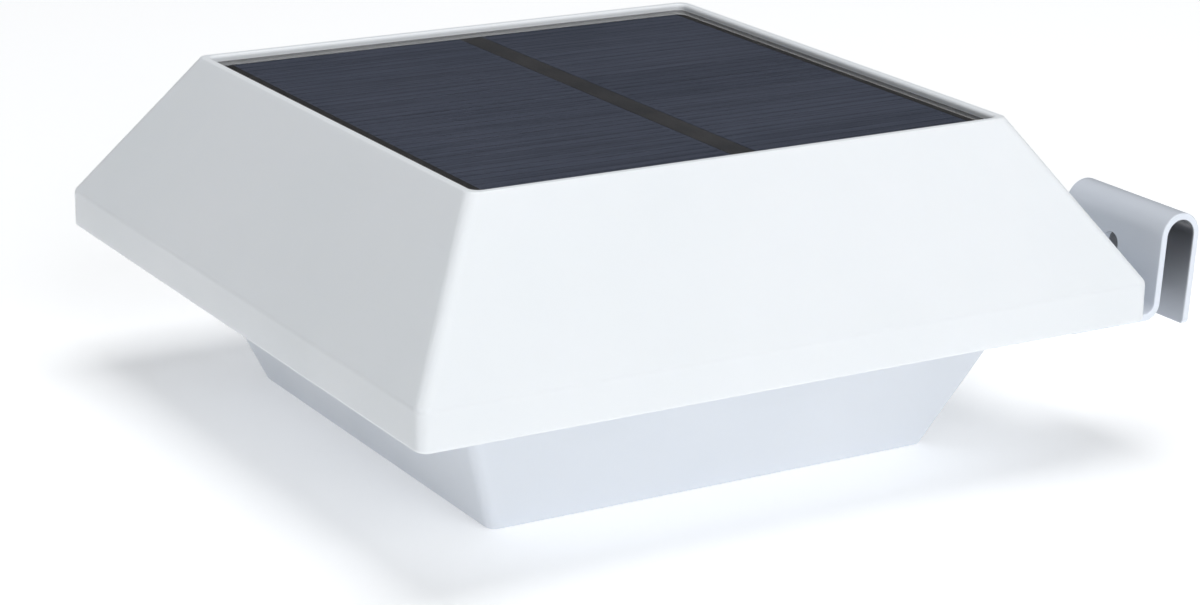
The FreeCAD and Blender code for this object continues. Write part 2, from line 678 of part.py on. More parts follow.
def make_base_plate():
    body = new_body("BasePlate")
    outline = rounded_section(body, "PlateOutline", "base_level",
                              "side_length - 2 * wall_width - 2 * plate_gap", "inner_radius")
    pad(body, "Plate", outline, "plate_thickness")
    posts = new_sketch(body, "ControlPostCircles", "XY_Plane", PLATE_TOP)
    draw_circles(posts, "post_radius", CONTROL_POSTS)
    pad(body, "ControlPosts", posts, "control_post_height")
    feet = new_sketch(body, "LedPostCircles", "XY_Plane", "base_level - led_post_height")
    draw_circles(feet, "post_radius", LED_POSTS)
    pad(body, "LedPosts", feet, "led_post_height")

    groove = new_sketch(body, "GrooveOutline", "XY_Plane", "base_level")
    draw_rounded(groove, "lens_top_length + 2 * groove_gap", "lens_top_length + 2 * groove_gap",
                 "lens_radius + groove_gap")
    inner_side = f"{LENS_HOLLOW} - 2 * groove_gap"
    draw_rounded(groove, inner_side, inner_side, "lens_inner_radius")
    pocket(body, "Groove", groove, "groove_depth")

    drill(body, "ScrewHoles", "base_level - 1", "clear_radius", CASE_SCREWS + HOOK_SCREWS,
          "plate_thickness + 2")
    drill(body, "ScrewSinks", "base_level - 1", "head_radius + 0.4", CASE_SCREWS,
          "sink_depth + 1")
    drill(body, "ButtonHole", "base_level - 1", "button_radius + button_play",
          [("0", "switch_back")], "plate_thickness + 2")
    drill(body, "LeadHole", "base_level - 1", "lead_hole_radius", [LED_LEAD_HOLE],
          "plate_thickness + 2")
    drill(body, "LedPilots", "base_level - led_post_height - 1", "small_thread", LED_POSTS,
          "led_post_height + small_pilot_depth + 1")
    drill(body, "ControlPilots", f"{PLATE_TOP} - 1", "small_thread", CONTROL_POSTS,
          "control_post_height + 2")
    drill(body, "TrayPilots", f"{PLATE_TOP} - small_pilot_depth", "small_thread", TRAY_SCREWS,
          "small_pilot_depth + 1")
    node(body, "base_plate")


# ---- the light box --------------------------------------------------------------------------

def make_lens():
    body = new_body("Lens")
    bottom = rounded_section(body, "LensBottom", "0", "lens_bottom_length", "lens_radius")
    top = rounded_section(body, "LensTop", "base_level", "lens_top_length", "lens_radius")
    loft(body, "LensSlope", "PartDesign::AdditiveLoft", [bottom, top])
    rim = rounded_section(body, "LensRimOutline", "base_level", "lens_top_length", "lens_radius")
    pad(body, "LensRim", rim, "lens_rim")
    round_edges(body, "LensEdge", "lens_edge_radius", at_level("0"))
    slope = "((lens_top_length - lens_bottom_length) / base_level)"
    low = rounded_section(body, "LensHollowLow", "lens_floor",
                          f"lens_bottom_length - 2 * lens_wall + {slope} * lens_floor",
                          "lens_inner_radius")
    high = rounded_section(body, "LensHollowHigh", "base_level", LENS_HOLLOW,
                           "lens_inner_radius")
    loft(body, "LensHollow", "PartDesign::SubtractiveLoft", [low, high])
    mouth = rounded_section(body, "LensMouth", "base_level", LENS_HOLLOW, "lens_inner_radius")
    pocket(body, "LensMouthCut", mouth, "lens_rim + 1")
    node(body, "lens")


def make_lens_seal():
    node(square_plate("LensSeal", "lens_top_length", "lens_radius", "base_level + lens_rim",
                      "seal_height", LENS_HOLLOW, "lens_inner_radius"), "lens_seal")


# ---- the hooks ------------------------------------------------------------------------------

def draw_hook_path(sketch):
    """The strip's mid line: flange, bend, front leg, arch and rear leg."""
    lean = math.radians(value("lean_angle"))
    bend, arch = value("bend_radius"), value("arch_radius")
    rise = FreeCAD.Vector(math.sin(lean), math.cos(lean), 0)
    across = FreeCAD.Vector(math.cos(lean), -math.sin(lean), 0)
    level = value("base_level - strip_thickness / 2")
    start = FreeCAD.Vector(value("flange_start"), level, 0)
    flange_end = start + FreeCAD.Vector(value("flange_reach"), 0, 0)
    bend_centre = flange_end + FreeCAD.Vector(0, bend, 0)
    leg_foot = bend_centre + across * bend
    leg_top = leg_foot + rise * value("front_leg")
    arch_centre = leg_top + across * arch
    rear_top = arch_centre + across * arch
    rear_tip = rear_top - rise * value("rear_leg")

    flange = add_line(sketch, (start.x, start.y), (flange_end.x, flange_end.y))
    bend_arc = add_arc(sketch, (bend_centre.x, bend_centre.y), bend, -math.pi / 2, -lean)
    front = add_line(sketch, (leg_foot.x, leg_foot.y), (leg_top.x, leg_top.y))
    arch_arc = add_arc(sketch, (arch_centre.x, arch_centre.y), arch, -lean, math.pi - lean)
    rear = add_line(sketch, (rear_top.x, rear_top.y), (rear_tip.x, rear_tip.y))

    join_smoothly(sketch, flange, 2, bend_arc, 1)
    join_smoothly(sketch, bend_arc, 2, front, 1)
    join_smoothly(sketch, front, 2, arch_arc, 2)
    join_smoothly(sketch, arch_arc, 1, rear, 1)
    sketch.addConstraint(Sketcher.Constraint("Horizontal", flange))
    sketch.addConstraint(Sketcher.Constraint("Parallel", front, rear))
    pin_distance(sketch, "DistanceX", flange, 1, "flange_start")
    pin_distance(sketch, "DistanceY", flange, 1, "base_level - strip_thickness / 2")
    pin_size(sketch, "Distance", flange, "flange_reach")
    pin_size(sketch, "Radius", bend_arc, "bend_radius")
    pin_size(sketch, "Distance", front, "front_leg")
    pin_size(sketch, "Radius", arch_arc, "arch_radius")
    pin_size(sketch, "Distance", rear, "rear_leg")
    angle = sketch.addConstraint(Sketcher.Constraint("Angle", front, math.pi / 2 - lean))
    sketch.setExpression(f"Constraints[{angle}]", linked("(90 - lean_angle) * 1deg"))


def make_hook(side, label):
    centre = f"({side} * hook_centre)"
    body = new_body(f"Hook_{label}")
    path = new_sketch(body, f"{label}_path", "YZ_Plane", centre)
    draw_hook_path(path)
    section = new_sketch(body, f"{label}_section", "XZ_Plane", "-flange_start")
    bind(section, "AttachmentOffset.Base.x", centre)
    bind(section, "AttachmentOffset.Base.y", "base_level - strip_thickness / 2")
    draw_rectangle(section, "strip_width", "strip_thickness")
    doc.recompute()
    strip = body.newObject("PartDesign::AdditivePipe", f"{label}_strip")
    strip.Profile = section
    strip.Spine = (path, [f"Edge{i}" for i in range(1, 6)])
    doc.recompute()

    screws = HOOK_SCREWS[:2] if side == LEFT else HOOK_SCREWS[2:]
    drill(body, f"{label}_screw_holes", "base_level - strip_thickness - 1", "clear_radius",
          screws, "strip_thickness + 2")
    eye = new_sketch(body, f"{label}_eye", "XZ_Plane", "-(flange_start + flange_reach - 2)")
    draw_circles(eye, "hook_hole_radius", [(centre, "hook_hole_level")])
    pocket(body, f"{label}_fixing_hole", eye, "6", along_normal=False)

    thickness = value("strip_thickness")
    half_width = value("strip_width / 2")
    middle = value(centre)
    tip_level = value("base_level - strip_thickness - 0.2")
    flange_start = value("flange_start")

    def at_strip_end(edge):
        box = edge.BoundBox
        at_side = abs(abs(box.Center.x - middle) - half_width) < 0.25
        short = 0.9 * thickness < edge.Length < 1.1 * thickness
        at_flange_end = box.YMax < flange_start + 0.1
        at_tip = box.ZMax < tip_level
        return at_side and short and (at_flange_end or at_tip)

    def along_strip(edge):
        box = edge.BoundBox
        at_side = abs(abs(box.Center.x - middle) - half_width) < 0.01 and box.XLength < 0.01
        return at_side and edge.Length > 1.5 * thickness

    round_edges(body, f"{label}_corners", "tip_radius", at_strip_end)
    round_edges(body, f"{label}_edges", "strip_edge_radius", along_strip)
    node(body, label)


# ---- screws ---------------------------------------------------------------------------------

def make_screws():
    hook_screws = [
        pan_screw(f"HookScrew{i}", "thread_radius", "screw_length", "head_radius", "head_height",
                  x, y, "base_level - strip_thickness", points_up=True)
        for i, (x, y) in enumerate(HOOK_SCREWS)
    ]
    node(group("HookScrews", hook_screws), "bracket_screws")
    case_screws = [
        pan_screw(f"CaseScrew{i}", "thread_radius", "screw_length - sink_depth",
                  "head_radius", "head_height", x, y, "base_level + sink_depth", points_up=True)
        for i, (x, y) in enumerate(CASE_SCREWS)
    ]
    node(group("CaseScrews", case_screws), "case_screws")
    led_screws = [
        pan_screw(f"LedScrew{i}", "small_thread", "led_board_thickness + led_post_height + 1.6",
                  "small_head", "small_head_height", x, y, LED_BOARD_BOTTOM, points_up=True)
        for i, (x, y) in enumerate(LED_POSTS)
    ]
    node(group("LedScrews", led_screws), "led_board_screws")
    control_screws = [
        pan_screw(f"ControlScrew{i}", "small_thread", "control_thickness + 3.5", "small_head",
                  "small_head_height", x, y, CONTROL_TOP, points_up=False)
        for i, (x, y) in enumerate(CONTROL_POSTS)
    ]
    node(group("ControlScrews", control_screws), "control_board_screws")
    tray_screws = [
        pan_screw(f"TrayScrew{i}", "small_thread", "tray_floor + 2", "small_head",
                  "small_head_height", x, y, f"{PLATE_TOP} + tray_floor", points_up=False)
        for i, (x, y) in enumerate(TRAY_SCREWS)
    ]
    node(group("TrayScrews", tray_screws), "battery_tray_screws")


# ---- the LED board --------------------------------------------------------------------------

def make_led_board():
    plate = block("LedBoardPlate", "led_board_length", "led_board_length",
                  "led_board_thickness", 0, 0, LED_BOARD_BOTTOM)
    holes = [rod(f"LedBoardHole{i}", "small_clear", "led_board_thickness + 2", x, y,
                 f"{LED_BOARD_BOTTOM} - 1") for i, (x, y) in enumerate(LED_POSTS)]
    node(cut("LedBoard", plate, fuse("LedBoardHoles", holes)), "led_board")

    def spot(index, count, pitch):
        return f"({index} - ({count} - 1) / 2) * {pitch}"

    columns, rows = int(value("led_columns")), int(value("led_rows"))
    chips = [
        block(f"Led{column}{row}", "led_length", "led_width", "led_height",
              spot(column, "led_columns", "led_pitch_side"), spot(row, "led_rows", "led_pitch_back"),
              f"{LED_BOARD_BOTTOM} - led_height")
        for column in range(columns) for row in range(rows)
    ]
    node(group("Leds", chips), "led_chips")
    resistors = [
        block(f"LedResistor{column}", "resistor_length", "resistor_width", "resistor_height",
              spot(column, "led_columns", "led_pitch_side"), "led_pitch_back / 2",
              f"{LED_BOARD_BOTTOM} - resistor_height")
        for column in range(columns)
    ]
    node(group("LedResistors", resistors), "led_resistors")


# ---- the battery ----------------------------------------------------------------------------

AXIS_LEVEL = f"({PLATE_TOP} + tray_floor + {SLEEVED})"
HOLD_LENGTH = "(cell_length + nub_length + battery_spring_length)"
TRAY_INNER = f"({HOLD_LENGTH} + 2 * contact_thickness)"
CELL_START = "(battery_spring_length - " + HOLD_LENGTH + " / 2)"


def make_battery():
    can = lying_rod("CellCan", "cell_radius", "cell_length", CELL_START, "-tray_offset",
                    AXIS_LEVEL)
    nub = lying_rod("CellNub", "nub_radius", "nub_length", f"{CELL_START} + cell_length",
                    "-tray_offset", AXIS_LEVEL)
    node(fuse("BatteryCell", [can, nub]), "battery_cell")
    around = lying_rod("SleeveOuter", "cell_radius + sleeve_thickness", "cell_length - 1",
                       f"{CELL_START} + 0.5", "-tray_offset", AXIS_LEVEL)
    through = lying_rod("SleeveInner", "cell_radius", "cell_length", CELL_START, "-tray_offset",
                        AXIS_LEVEL)
    node(cut("BatterySleeve", around, through), "battery_sleeve")

    width = f"(2 * ({SLEEVED} + tray_wall))"
    solid = block("TraySolid", f"{TRAY_INNER} + 2 * tray_wall", width, "tray_height", 0,
                  "-tray_offset", PLATE_TOP)
    hollow = block("TrayHollow", TRAY_INNER, f"2 * {SLEEVED}", "tray_height", 0,
                   "-tray_offset", f"{PLATE_TOP} + tray_floor")
    ears = [block(f"TrayEar{i}", "ear_length", "ear_width", "tray_floor", x, y, PLATE_TOP)
            for i, (x, y) in enumerate(TRAY_SCREWS)]
    holes = [rod(f"TrayHole{i}", "small_clear", "tray_floor + 2", x, y, f"{PLATE_TOP} - 1")
             for i, (x, y) in enumerate(TRAY_SCREWS)]
    tray = fuse("TrayWithEars", [cut("TrayShell", solid, hollow)] + ears)
    node(cut("BatteryTray", tray, fuse("TrayHoles", holes)), "battery_tray")

    plate_middle = f"({HOLD_LENGTH} / 2 + contact_thickness / 2)"
    plates = [block(f"ContactPlate{side + 1}", "contact_thickness", "contact_width",
                    "tray_height - tray_floor", f"{side} * {plate_middle}", "-tray_offset",
                    f"{PLATE_TOP} + tray_floor") for side in BOTH_SIDES]
    node(group("BatteryContacts", plates), "battery_contacts")
    spring("battery_spring", "battery_spring_radius", "battery_wire_radius",
           "battery_spring_length", 3, (f"-{HOLD_LENGTH} / 2", "-tray_offset", AXIS_LEVEL),
           FreeCAD.Vector(1, 0, 0))


# ---- the control board ----------------------------------------------------------------------

SOCKETS = {
    "battery": ("control_left - 10", "control_back + socket_row", "socket_length", "socket_width"),
    "panel": ("control_left + 2", "control_back + socket_row", "socket_length", "socket_width"),
    "led": ("control_left + 12", "control_back + socket_row", "socket_width", "socket_length"),
    "switch": ("control_left", "control_back + 11", "socket_length", "6"),
}


def make_control_board():
    plate = block("ControlPlate", "control_length", "control_width", "control_thickness",
                  "control_left", "control_back", CONTROL_BOTTOM)
    holes = [rod(f"ControlHole{i}", "small_clear", "control_thickness + 2", x, y,
                 f"{CONTROL_BOTTOM} - 1") for i, (x, y) in enumerate(CONTROL_POSTS)]
    node(cut("ControlBoard", plate, fuse("ControlHoles", holes)), "control_board")
    chip_spot = ("control_left - 4", "control_back - 1", CONTROL_TOP)
    chip = block("ChipBlock", "chip_length", "chip_width", "chip_height", *chip_spot)
    legs = block("ChipLegs", "0.9 * chip_length", "chip_leg_span", "chip_leg_height", *chip_spot)
    node(fuse("ControlChip", [chip, legs]), "control_chip")
    inductor_spot = ("control_left + 6", "control_back", CONTROL_TOP)
    core = rod("InductorCore", "inductor_radius", "inductor_height", *inductor_spot)
    foot = block("InductorFoot", "inductor_foot", "inductor_foot", "inductor_foot_height",
                 *inductor_spot)
    node(fuse("Inductor", [core, foot]), "inductor")
    node(rod("Capacitor", "capacitor_radius", "capacitor_height", "control_left - 13",
             "control_back", CONTROL_TOP), "capacitor")
    sockets = [block(f"Socket_{name}", length, width, "socket_height", x, y, CONTROL_TOP)
               for name, (x, y, length, width) in SOCKETS.items()]
    node(group("Sockets", sockets), "lead_sockets")


# ---- the push switch ------------------------------------------------------------------------

COLLAR_TOP = f"({PLATE_TOP} + collar_play + collar_height)"
CHAMBER_TOP = f"({COLLAR_TOP} + squeezed_spring + button_travel)"
HOUSING_HEIGHT = f"({CHAMBER_TOP} + housing_roof - {PLATE_TOP})"
TAB_REACH = "(housing_length / 2 + tab_length / 2)"


def make_switch():
    housing = block("HousingSolid", "housing_length", "housing_length", HOUSING_HEIGHT, 0,
                    "switch_back", PLATE_TOP)
    chamber = rod("HousingChamber", "collar_radius + housing_play",
                  f"{CHAMBER_TOP} - {PLATE_TOP} + 1", 0, "switch_back", f"{PLATE_TOP} - 1")
    opening = rod("HousingOpening", "plunger_radius + plunger_play", "housing_roof + 2", 0,
                  "switch_back", f"{CHAMBER_TOP} - 1")
    node(cut("SwitchHousing", housing, fuse("HousingVoid", [chamber, opening])),
         "switch_housing")

    stem = rod("ButtonStem", "button_radius", "button_proud + plate_thickness + collar_play + 0.01",
               0, "switch_back", "base_level - button_proud")
    doc.recompute()
    soft = doc.addObject("Part::Fillet", "ButtonStemRounded")
    soft.Base = stem
    lowest = [i for i, edge in enumerate(stem.Shape.Edges, start=1)
              if edge.BoundBox.ZMax < value("base_level - button_proud") + 1e-4]
    edge_radius = value("button_edge_radius")
    soft.Edges = [(i, edge_radius, edge_radius) for i in lowest]
    collar = rod("ButtonCollar", "collar_radius", "collar_height", 0, "switch_back",
                 f"{PLATE_TOP} + collar_play")
    node(fuse("Button", [soft, collar]), "button")
    node(rod("Plunger", "plunger_radius",
             f"{CHAMBER_TOP} + housing_roof + plunger_proud - {COLLAR_TOP}", 0, "switch_back",
             COLLAR_TOP), "switch_plunger")
    spring("switch_spring", "button_spring_radius", "button_wire_radius",
           f"{CHAMBER_TOP} - {COLLAR_TOP}", 4, ("0", "switch_back", COLLAR_TOP),
           FreeCAD.Vector(0, 0, 1))
    tabs = [block(f"SwitchTab{side + 1}", "tab_width", "tab_length", "tab_thickness",
                  f"{side} * tab_spot", f"switch_back - {TAB_REACH}",
                  f"{PLATE_TOP} + tab_level - tab_thickness / 2") for side in BOTH_SIDES]
    node(group("SwitchTabs", tabs), "switch_terminals")


# ---- the leads ------------------------------------------------------------------------------

def at(*formulas):
    """Numbers for the formulas of one point."""
    return [value(formula) for formula in formulas]


def make_leads():
    roof = f"{DECK_BOTTOM} - lead_head_room"
    socket_top = f"{CONTROL_TOP} + socket_height"
    contact_top = f"{PLATE_TOP} + tray_height"
    contact_spot = f"({HOLD_LENGTH} / 2 + contact_thickness / 2)"
    for side, colour in ((RIGHT, "red"), (LEFT, "black")):
        x, y = SOCKETS["battery"][:2]
        x = f"{x} + {side} * lead_spread"
        lead(f"battery_lead_{colour}", [
            at(f"{side} * {contact_spot}", "-tray_offset", contact_top),
            at(f"{side} * {contact_spot}", "-tray_offset", f"{contact_top} + 3.8"),
            at(f"{side} * ({contact_spot} - 2)", "5.5 - tray_offset", roof),
            at(x, y, roof),
            at(x, y, socket_top),
        ])

        x, y = SOCKETS["panel"][:2]
        x = f"{x} + {side} * lead_spread"
        lead(f"panel_lead_{colour}", [
            at(x, f"{y} + 4.5", BOARD_BOTTOM),
            at(x, f"{y} + 4.5", f"{BOARD_BOTTOM} - 4.2"),
            at(x, y, f"{socket_top} + 4.2"),
            at(x, y, socket_top),
        ])

        x, y = SOCKETS["led"][:2]
        hole_x, hole_y = LED_LEAD_HOLE
        shift = f"{side} * lead_spread"
        lead(f"led_lead_{colour}", [
            at(hole_x, f"{hole_y} + {shift}", f"{LED_BOARD_BOTTOM} + led_board_thickness"),
            at(hole_x, f"{hole_y} + {shift}", f"{roof} - 2"),
            at(x, f"{y} + {shift}", roof),
            at(x, f"{y} + {shift}", socket_top),
        ])

        x = f"{SOCKETS['switch'][0]} + {side} * lead_spread"
        tab_end = f"switch_back - {TAB_REACH} - tab_length / 2"
        socket_back = f"{SOCKETS['switch'][1]} + {SOCKETS['switch'][3]} / 2"
        plug_level = f"{CONTROL_TOP} + socket_height / 2"
        lead(f"switch_lead_{colour}", [
            at(f"{side} * tab_spot", tab_end, f"{PLATE_TOP} + tab_level"),
            at(f"{side} * tab_spot", f"{tab_end} - 3.4", f"{PLATE_TOP} + tab_level"),
            at(x, f"{socket_back} + 3.4", plug_level),
            at(x, socket_back, plug_level),
        ])


# ---- build, check and write -----------------------------------------------------------------

def check_document():
    doc.recompute()
    failed = [obj.Name for obj in doc.Objects if {"Invalid", "Error"} & set(obj.State)]
    if failed:
        raise RuntimeError(f"failed objects: {failed}")
    for obj in nodes:
        if obj.Shape.isNull() or not obj.Shape.isValid() or not obj.Shape.Solids:
            raise RuntimeError(f"{obj.Label} has no valid solid")


def write_parts():
    os.makedirs("parts", exist_ok=True)
    for obj in nodes:
        obj.Shape.exportStep(f"parts/{obj.Label}.step")


make_shell()
make_gasket()
make_panel()
make_base_plate()
make_lens()
make_lens_seal()
make_hook(LEFT, "left_bracket")
make_hook(RIGHT, "right_bracket")
make_screws()
make_led_board()
make_battery()
make_control_board()
make_switch()
make_leads()
check_document()
write_parts()
print(len(nodes), "nodes")
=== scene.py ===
import json
import math
import random

import bmesh
import bpy
from mathutils import Matrix, Vector


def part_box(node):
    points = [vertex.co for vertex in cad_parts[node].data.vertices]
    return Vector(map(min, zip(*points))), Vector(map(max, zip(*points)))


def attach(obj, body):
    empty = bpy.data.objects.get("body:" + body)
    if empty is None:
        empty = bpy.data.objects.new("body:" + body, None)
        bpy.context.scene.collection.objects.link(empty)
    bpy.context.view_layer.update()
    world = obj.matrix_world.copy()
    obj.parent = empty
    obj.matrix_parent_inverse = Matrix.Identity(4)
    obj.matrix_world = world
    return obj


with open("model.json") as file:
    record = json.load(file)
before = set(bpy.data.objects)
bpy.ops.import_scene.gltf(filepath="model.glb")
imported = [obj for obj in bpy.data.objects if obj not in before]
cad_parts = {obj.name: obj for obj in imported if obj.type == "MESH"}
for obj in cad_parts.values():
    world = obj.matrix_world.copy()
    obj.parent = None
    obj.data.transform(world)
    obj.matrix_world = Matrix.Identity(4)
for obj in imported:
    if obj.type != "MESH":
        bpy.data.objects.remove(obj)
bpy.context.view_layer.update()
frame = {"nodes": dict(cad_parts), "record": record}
MM = 0.001
rng = random.Random(11)


def mount(name):
    """A mount of the record, by name."""
    return next(m for m in frame["record"]["mounts"] if m["name"] == name)


def add_object(name, data):
    """Makes an object of the scene."""
    made = bpy.data.objects.new(name, data)
    bpy.context.scene.collection.objects.link(made)
    return made


# ---- shader helpers -------------------------------------------------------------------------

class Shader:
    """A material's node tree, built up by short calls that return sockets."""

    def __init__(self, name):
        self.material = bpy.data.materials.new(name)
        self.material.use_nodes = True
        self.tree = self.material.node_tree
        self.tree.nodes.clear()
        self.output = self.tree.nodes.new("ShaderNodeOutputMaterial")

    def node(self, kind, inputs=None, **settings):
        made = self.tree.nodes.new(kind)
        for key, setting in settings.items():
            setattr(made, key, setting)
        for key, given in (inputs or {}).items():
            self.feed(made.inputs[key], given)
        return made

    def feed(self, socket, given):
        """Links a socket or sets a plain value; None leaves the socket as it is."""
        if isinstance(given, bpy.types.NodeSocket):
            self.tree.links.new(given, socket)
        elif given is not None:
            socket.default_value = given

    def place(self, scale=(1, 1, 1)):
        """Object coordinates in metres, multiplied by scale."""
        coords = self.node("ShaderNodeTexCoord").outputs["Object"]
        mapped = self.node("ShaderNodeMapping", {"Vector": coords, "Scale": scale})
        return mapped.outputs["Vector"]

    def split(self, vector):
        """The X, Y and Z of a vector, by name."""
        return self.node("ShaderNodeSeparateXYZ", {"Vector": vector}).outputs

    def normal(self):
        """The direction that the surface faces."""
        return self.node("ShaderNodeNewGeometry").outputs["Normal"]

    def noise(self, scale, detail=3.0, rough=0.55, stretch=(1, 1, 1)):
        made = self.node("ShaderNodeTexNoise", {
            "Vector": self.place(stretch), "Scale": scale, "Detail": detail, "Roughness": rough})
        return made.outputs["Fac"]

    def ramp(self, factor, low, high, start=0.0, end=1.0):
        """A value that goes from start to end as factor goes from low to high."""
        made = self.node("ShaderNodeMapRange", {
            "Value": factor, "From Min": low, "From Max": high, "To Min": start, "To Max": end})
        return made.outputs["Result"]

    def mix(self, factor, first, second):
        """A colour between first and second; they are sockets 6 and 7 of a colour mix."""
        made = self.node("ShaderNodeMix", {"Factor": factor}, data_type="RGBA")
        self.feed(made.inputs[6], first)
        self.feed(made.inputs[7], second)
        return made.outputs[2]

    def math(self, operation, first, second=None):
        made = self.node("ShaderNodeMath", operation=operation)
        self.feed(made.inputs[0], first)
        self.feed(made.inputs[1], second)
        return made.outputs[0]

    def bump(self, height, strength, distance, normal=None):
        made = self.node("ShaderNodeBump", {
            "Height": height, "Strength": strength, "Distance": distance, "Normal": normal})
        return made.outputs["Normal"]

    def principled(self, **inputs):
        names = {key.replace("_", " "): given for key, given in inputs.items()}
        return self.node("ShaderNodeBsdfPrincipled", names).outputs["BSDF"]

    def finish(self, surface):
        self.feed(self.output.inputs["Surface"], surface)
        return self.material


def rgb(red, green, blue):
    """A colour given in 0-255 display values, as linear RGBA."""
    def linear(channel):
        share = channel / 255
        return share / 12.92 if share <= 0.04045 else ((share + 0.055) / 1.055) ** 2.4
    return (linear(red), linear(green), linear(blue), 1.0)


# ---- materials ------------------------------------------------------------------------------

def moulded_white(name, colour, shade, roughness, specks):
    """White moulding: cloudy tone, orange-peel surface, a few dark specks and faint scuffs."""
    s = Shader(name)
    clouds = s.ramp(s.noise(18, 4), 0.35, 0.7)
    tone = s.mix(clouds, colour, shade)
    dots = s.node("ShaderNodeTexVoronoi", {
        "Vector": s.place(), "Scale": specks, "Randomness": 1.0}).outputs["Distance"]
    rare = s.ramp(s.noise(60, 1), 0.60, 0.64)
    speck = s.math("MULTIPLY", s.ramp(dots, 0.035, 0.02), rare)
    tone = s.mix(s.math("MULTIPLY", speck, 0.35), tone, rgb(150, 150, 148))
    scuff = s.ramp(s.noise(900, 2, stretch=(1, 0.08, 0.4)), 0.62, 0.8)
    rough = s.math("ADD", s.ramp(s.noise(35, 3), 0.3, 0.7, roughness, roughness + 0.09),
                   s.math("MULTIPLY", scuff, 0.12))
    peel = s.bump(s.noise(700, 2), 0.12, 0.06 * MM)
    grain = s.bump(s.noise(4200, 2), 0.10, 0.02 * MM, peel)
    return s.finish(s.principled(
        Base_Color=tone, Roughness=rough, Normal=grain, IOR=1.46, Subsurface_Weight=0.12,
        Subsurface_Radius=(4.0 * MM, 3.8 * MM, 3.5 * MM), Subsurface_Scale=0.4))


def frosted_lens(name):
    """Frosted milky plastic: soft scatter, faint vertical flow marks, satin surface."""
    s = Shader(name)
    clouds = s.ramp(s.noise(22, 3), 0.3, 0.7)
    tone = s.mix(clouds, rgb(231, 236, 244), rgb(225, 231, 240))
    flow = s.ramp(s.noise(90, 2, stretch=(1, 1, 0.15)), 0.35, 0.65)
    rough = s.ramp(flow, 0, 1, 0.36, 0.46)
    frost = s.bump(s.noise(2600, 2), 0.18, 0.03 * MM)
    return s.finish(s.principled(
        Base_Color=tone, Roughness=rough, Normal=frost, IOR=1.49, Subsurface_Weight=0.35,
        Subsurface_Radius=(6.0 * MM, 6.2 * MM, 6.8 * MM), Subsurface_Scale=0.8))


def silicon(name, light, dark):
    """Dark blue-grey cells with cloudy tone and fine irregular streaks along Y."""
    s = Shader(name)
    clouds = s.ramp(s.noise(42, 4), 0.3, 0.72)
    tone = s.mix(clouds, light, dark)
    streaks = s.ramp(s.noise(900, 3, 0.6, stretch=(1, 0.03, 1)), 0.42, 0.66)
    tone = s.mix(s.math("MULTIPLY", streaks, 0.35), tone, rgb(46, 50, 62))
    rough = s.ramp(streaks, 0, 1, 0.42, 0.55)
    return s.finish(s.principled(Base_Color=tone, Roughness=rough, IOR=1.35))


def clear_cover(name):
    """Clear resin over the cells: it bends light but casts next to no shadow on them."""
    s = Shader(name)
    ripple = s.bump(s.noise(90, 2), 0.05, 0.08 * MM)
    smear = s.ramp(s.noise(48, 4, 0.65, stretch=(1, 0.45, 1)), 0.35, 0.75, 0.02, 0.07)
    resin = s.principled(Base_Color=(0.95, 0.96, 0.98, 1), Transmission_Weight=1.0, IOR=1.42,
                         Roughness=smear, Normal=ripple)
    shadow = s.node("ShaderNodeLightPath").outputs["Is Shadow Ray"]
    through = s.node("ShaderNodeBsdfTransparent", {"Color": (0.93, 0.94, 0.96, 1)})
    both = s.node("ShaderNodeMixShader", {"Fac": shadow})
    s.feed(both.inputs[1], resin)
    s.feed(both.inputs[2], through.outputs[0])
    return s.finish(both.outputs[0])


def plain(name, colour, shade, roughness, metallic=0.0):
    """A quiet two-tone material with fine grain, for small and inner pieces."""
    s = Shader(name)
    tone = s.mix(s.ramp(s.noise(120, 3), 0.35, 0.65), colour, shade)
    rough = s.ramp(s.noise(260, 2), 0.3, 0.7, roughness, roughness + 0.12)
    grain = s.bump(s.noise(900, 2), 0.2, 0.03 * MM)
    return s.finish(s.principled(
        Base_Color=tone, Roughness=rough, Metallic=metallic, Normal=grain))


LEG_LEAN = math.radians(3.5)   # how far the legs of the hooks lean back
ARCH_OUTSIDE = 3.4 * MM        # outer radius of the arch that joins the legs
# A face's distance from the middle of the gap, measured the way the face looks, is below the
# first value on the inside of a hook, and above the second on its cut edges and outside.
INSIDE, NOT_INSIDE = -1.4 * MM, -0.5 * MM
MOUTH_SHADE, ARCH_SHADE = 0.05, 0.85    # how dark the painted shade inside is, from 0 to 1


def hook_painted_shade(s):
    """Painted shade: darkness of the faces that look into the gap of a hook, more towards its arch,
    else 0.
    """
    mouth = mount("right_hook_slot")["pos_m"]
    arch_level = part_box("right_bracket")[1][2] - ARCH_OUTSIDE
    place, normal = s.split(s.place()), s.split(s.normal())
    above_mouth = s.math("SUBTRACT", place["Z"], mouth[2])
    middle = s.math("ADD", s.math("MULTIPLY", above_mouth, math.tan(LEG_LEAN)), mouth[1])
    out_y = s.math("SUBTRACT", place["Y"], middle)
    out_z = s.math("MAXIMUM", s.math("SUBTRACT", place["Z"], arch_level), 0.0)
    outward = s.math("ADD", s.math("MULTIPLY", normal["Y"], out_y),
                     s.math("MULTIPLY", normal["Z"], out_z))
    inner = s.ramp(outward, INSIDE, NOT_INSIDE, 1.0, 0.0)
    shade = s.ramp(place["Z"], mouth[2], arch_level, MOUTH_SHADE, ARCH_SHADE)
    return s.math("MULTIPLY", inner, shade)


